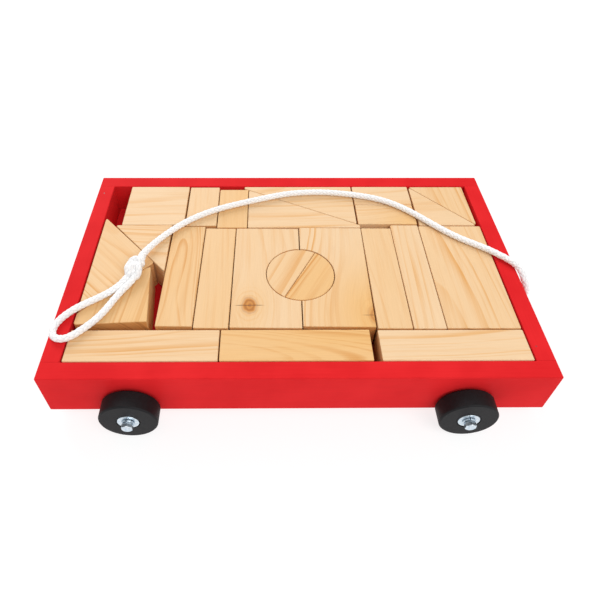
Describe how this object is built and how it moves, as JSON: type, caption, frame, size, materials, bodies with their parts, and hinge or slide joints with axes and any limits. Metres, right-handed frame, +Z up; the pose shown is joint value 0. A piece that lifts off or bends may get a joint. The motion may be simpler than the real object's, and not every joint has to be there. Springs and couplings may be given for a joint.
{
  "type": "pull wagon with building blocks",
  "caption": "Shallow painted wooden tray on disc wheels, packed with one layer of pine building blocks, with a braided pull cord that ends in a knotted loop handle.",
  "frame": {"origin": "on the ground, under the centre of the tray", "axes": "+Z up, +X towards the end that the cord pulls, Y across the tray with -Y the near side"},
  "size_m": [0.4088, 0.2856, 0.0706],
  "materials": {
    "red_paint": "opaque red satin paint on solid wood, edges eased",
    "pine": "bare sanded pine, clear grain, edges rounded",
    "wheel_rubber": "matte black, edges rounded",
    "zinc": "bright zinc plate, lightly brushed",
    "rope": "white round braid, soft"
  },
  "bodies": {
    "wagon": {"rail_front": "red_paint", "rail_back": "red_paint", "end_left": "red_paint", "end_right": "red_paint", "floor_board": "red_paint", "corner_dowel_front_left": "pine", "corner_dowel_front_right": "pine", "corner_dowel_back_right": "pine", "corner_dowel_back_left": "pine", "inner_washer_front_left": "zinc", "outer_washer_front_left": "zinc", "spring_washer_front_left": "zinc", "axle_screw_front_left": "zinc", "inner_washer_front_right": "zinc", "outer_washer_front_right": "zinc", "spring_washer_front_right": "zinc", "axle_screw_front_right": "zinc", "inner_washer_back_right": "zinc", "outer_washer_back_right": "zinc", "spring_washer_back_right": "zinc", "axle_screw_back_right": "zinc", "inner_washer_back_left": "zinc", "outer_washer_back_left": "zinc", "spring_washer_back_left": "zinc", "axle_screw_back_left": "zinc", "stopper_knot": "rope", "cord_in_hole": "rope", "cord_tail": "rope"},
    "wheel_front_left": {"wheel_front_left": "wheel_rubber"},
    "wheel_front_right": {"wheel_front_right": "wheel_rubber"},
    "wheel_back_right": {"wheel_back_right": "wheel_rubber"},
    "wheel_back_left": {"wheel_back_left": "wheel_rubber"},
    "pull_cord": {"pull_cord": "rope", "handle_knot": "rope", "handle_loop": "rope"},
    "plank_right": {"plank_right": "pine"},
    "triangle_right_front": {"triangle_right_front": "pine"},
    "half_square_back_right_front": {"half_square_back_right_front": "pine"},
    "half_square_back_right_rear": {"half_square_back_right_rear": "pine"},
    "long_triangle_front": {"long_triangle_front": "pine"},
    "long_triangle_rear": {"long_triangle_rear": "pine"},
    "half_square_back_inner": {"half_square_back_inner": "pine"},
    "half_square_back_outer": {"half_square_back_outer": "pine"},
    "square_back_left": {"square_back_left": "pine"},
    "pillar_left_outer": {"pillar_left_outer": "pine"},
    "triangle_left_rear": {"triangle_left_rear": "pine"},
    "triangle_large_left": {"triangle_large_left": "pine"},
    "triangle_left_front": {"triangle_left_front": "pine"},
    "brick_front_left": {"brick_front_left": "pine"},
    "brick_front_middle": {"brick_front_middle": "pine"},
    "brick_front_right": {"brick_front_right": "pine"},
    "pillar_left_inner": {"pillar_left_inner": "pine"},
    "arch_left": {"arch_left": "pine"},
    "arch_right": {"arch_right": "pine"},
    "half_disc_left": {"half_disc_left": "pine"},
    "half_disc_right": {"half_disc_right": "pine"},
    "pillar_right_inner": {"pillar_right_inner": "pine"},
    "pillar_right_outer": {"pillar_right_outer": "pine"},
    "triangle_right_rear": {"triangle_right_rear": "pine"}
  },
  "joints": [
    {"name": "wheel_front_left_spin", "type": "hinge", "parent": "wagon", "child": "wheel_front_left", "pos_m": [-0.1305, -0.1299, 0.0227], "axis": [0, 1, 0], "continuous": true},
    {"name": "wheel_front_right_spin", "type": "hinge", "parent": "wagon", "child": "wheel_front_right", "pos_m": [0.1305, -0.1299, 0.0227], "axis": [0, 1, 0], "continuous": true},
    {"name": "wheel_back_right_spin", "type": "hinge", "parent": "wagon", "child": "wheel_back_right", "pos_m": [0.1305, 0.1299, 0.0227], "axis": [0, 1, 0], "continuous": true},
    {"name": "wheel_back_left_spin", "type": "hinge", "parent": "wagon", "child": "wheel_back_left", "pos_m": [-0.1305, 0.1299, 0.0227], "axis": [0, 1, 0], "continuous": true},
    {"name": "pull_cord_swing", "type": "hinge", "parent": "wagon", "child": "pull_cord", "pos_m": [0.2012, -0.0172, 0.0573], "axis": [0, 1, 0], "range_deg": [0, 140], "deforming": ["cord_tail", "pull_cord"]},
    {"name": "plank_right_lift", "type": "slide", "parent": "wagon", "child": "plank_right", "axis": [0, 0, 1], "range_m": [0, 0.045]},
    {"name": "triangle_right_front_lift", "type": "slide", "parent": "wagon", "child": "triangle_right_front", "axis": [0, 0, 1], "range_m": [0, 0.045]},
    {"name": "half_square_back_right_front_lift", "type": "slide", "parent": "wagon", "child": "half_square_back_right_front", "axis": [0, 0, 1], "range_m": [0, 0.045]},
    {"name": "half_square_back_right_rear_lift", "type": "slide", "parent": "wagon", "child": "half_square_back_right_rear", "axis": [0, 0, 1], "range_m": [0, 0.045]},
    {"name": "long_triangle_front_lift", "type": "slide", "parent": "wagon", "child": "long_triangle_front", "axis": [0, 0, 1], "range_m": [0, 0.045]},
    {"name": "long_triangle_rear_lift", "type": "slide", "parent": "wagon", "child": "long_triangle_rear", "axis": [0, 0, 1], "range_m": [0, 0.045]},
    {"name": "half_square_back_inner_lift", "type": "slide", "parent": "wagon", "child": "half_square_back_inner", "axis": [0, 0, 1], "range_m": [0, 0.045]},
    {"name": "half_square_back_outer_lift", "type": "slide", "parent": "wagon", "child": "half_square_back_outer", "axis": [0, 0, 1], "range_m": [0, 0.045]},
    {"name": "square_back_left_lift", "type": "slide", "parent": "wagon", "child": "square_back_left", "axis": [0, 0, 1], "range_m": [0, 0.045]},
    {"name": "pillar_left_outer_lift", "type": "slide", "parent": "wagon", "child": "pillar_left_outer", "axis": [0, 0, 1], "range_m": [0, 0.045]},
    {"name": "triangle_left_rear_lift", "type": "slide", "parent": "wagon", "child": "triangle_left_rear", "axis": [0, 0, 1], "range_m": [0, 0.045]},
    {"name": "triangle_large_left_lift", "type": "slide", "parent": "wagon", "child": "triangle_large_left", "axis": [0, 0, 1], "range_m": [0, 0.045]},
    {"name": "triangle_left_front_lift", "type": "slide", "parent": "wagon", "child": "triangle_left_front", "axis": [0, 0, 1], "range_m": [0, 0.045]},
    {"name": "brick_front_left_lift", "type": "slide", "parent": "wagon", "child": "brick_front_left", "axis": [0, 0, 1], "range_m": [0, 0.045]},
    {"name": "brick_front_middle_lift", "type": "slide", "parent": "wagon", "child": "brick_front_middle", "axis": [0, 0, 1], "range_m": [0, 0.045]},
    {"name": "brick_front_right_lift", "type": "slide", "parent": "wagon", "child": "brick_front_right", "axis": [0, 0, 1], "range_m": [0, 0.045]},
    {"name": "pillar_left_inner_lift", "type": "slide", "parent": "wagon", "child": "pillar_left_inner", "axis": [0, 0, 1], "range_m": [0, 0.045]},
    {"name": "arch_left_lift", "type": "slide", "parent": "wagon", "child": "arch_left", "axis": [0, 0, 1], "range_m": [0, 0.045]},
    {"name": "arch_right_lift", "type": "slide", "parent": "wagon", "child": "arch_right", "axis": [0, 0, 1], "range_m": [0, 0.045]},
    {"name": "half_disc_left_lift", "type": "slide", "parent": "wagon", "child": "half_disc_left", "axis": [0, 0, 1], "range_m": [0, 0.045]},
    {"name": "half_disc_right_lift", "type": "slide", "parent": "wagon", "child": "half_disc_right", "axis": [0, 0, 1], "range_m": [0, 0.045]},
    {"name": "pillar_right_inner_lift", "type": "slide", "parent": "wagon", "child": "pillar_right_inner", "axis": [0, 0, 1], "range_m": [0, 0.045]},
    {"name": "pillar_right_outer_lift", "type": "slide", "parent": "wagon", "child": "pillar_right_outer", "axis": [0, 0, 1], "range_m": [0, 0.045]},
    {"name": "triangle_right_rear_lift", "type": "slide", "parent": "wagon", "child": "triangle_right_rear", "axis": [0, 0, 1], "range_m": [0, 0.045]}
  ],
  "couplings": [
    {"joint": "plank_right_lift", "follows": "pull_cord_swing", "m_per_rad": 0.015},
    {"joint": "triangle_right_front_lift", "follows": "pull_cord_swing", "m_per_rad": 0.015},
    {"joint": "half_square_back_right_front_lift", "follows": "pull_cord_swing", "m_per_rad": 0.015},
    {"joint": "half_square_back_right_rear_lift", "follows": "pull_cord_swing", "m_per_rad": 0.015},
    {"joint": "long_triangle_front_lift", "follows": "pull_cord_swing", "m_per_rad": 0.015},
    {"joint": "long_triangle_rear_lift", "follows": "pull_cord_swing", "m_per_rad": 0.015},
    {"joint": "half_square_back_inner_lift", "follows": "pull_cord_swing", "m_per_rad": 0.015},
    {"joint": "half_square_back_outer_lift", "follows": "pull_cord_swing", "m_per_rad": 0.015},
    {"joint": "square_back_left_lift", "follows": "pull_cord_swing", "m_per_rad": 0.015},
    {"joint": "pillar_left_outer_lift", "follows": "pull_cord_swing", "m_per_rad": 0.015},
    {"joint": "triangle_left_rear_lift", "follows": "pull_cord_swing", "m_per_rad": 0.015},
    {"joint": "triangle_large_left_lift", "follows": "pull_cord_swing", "m_per_rad": 0.015},
    {"joint": "triangle_left_front_lift", "follows": "pull_cord_swing", "m_per_rad": 0.015},
    {"joint": "brick_front_left_lift", "follows": "pull_cord_swing", "m_per_rad": 0.015}
  ]
}
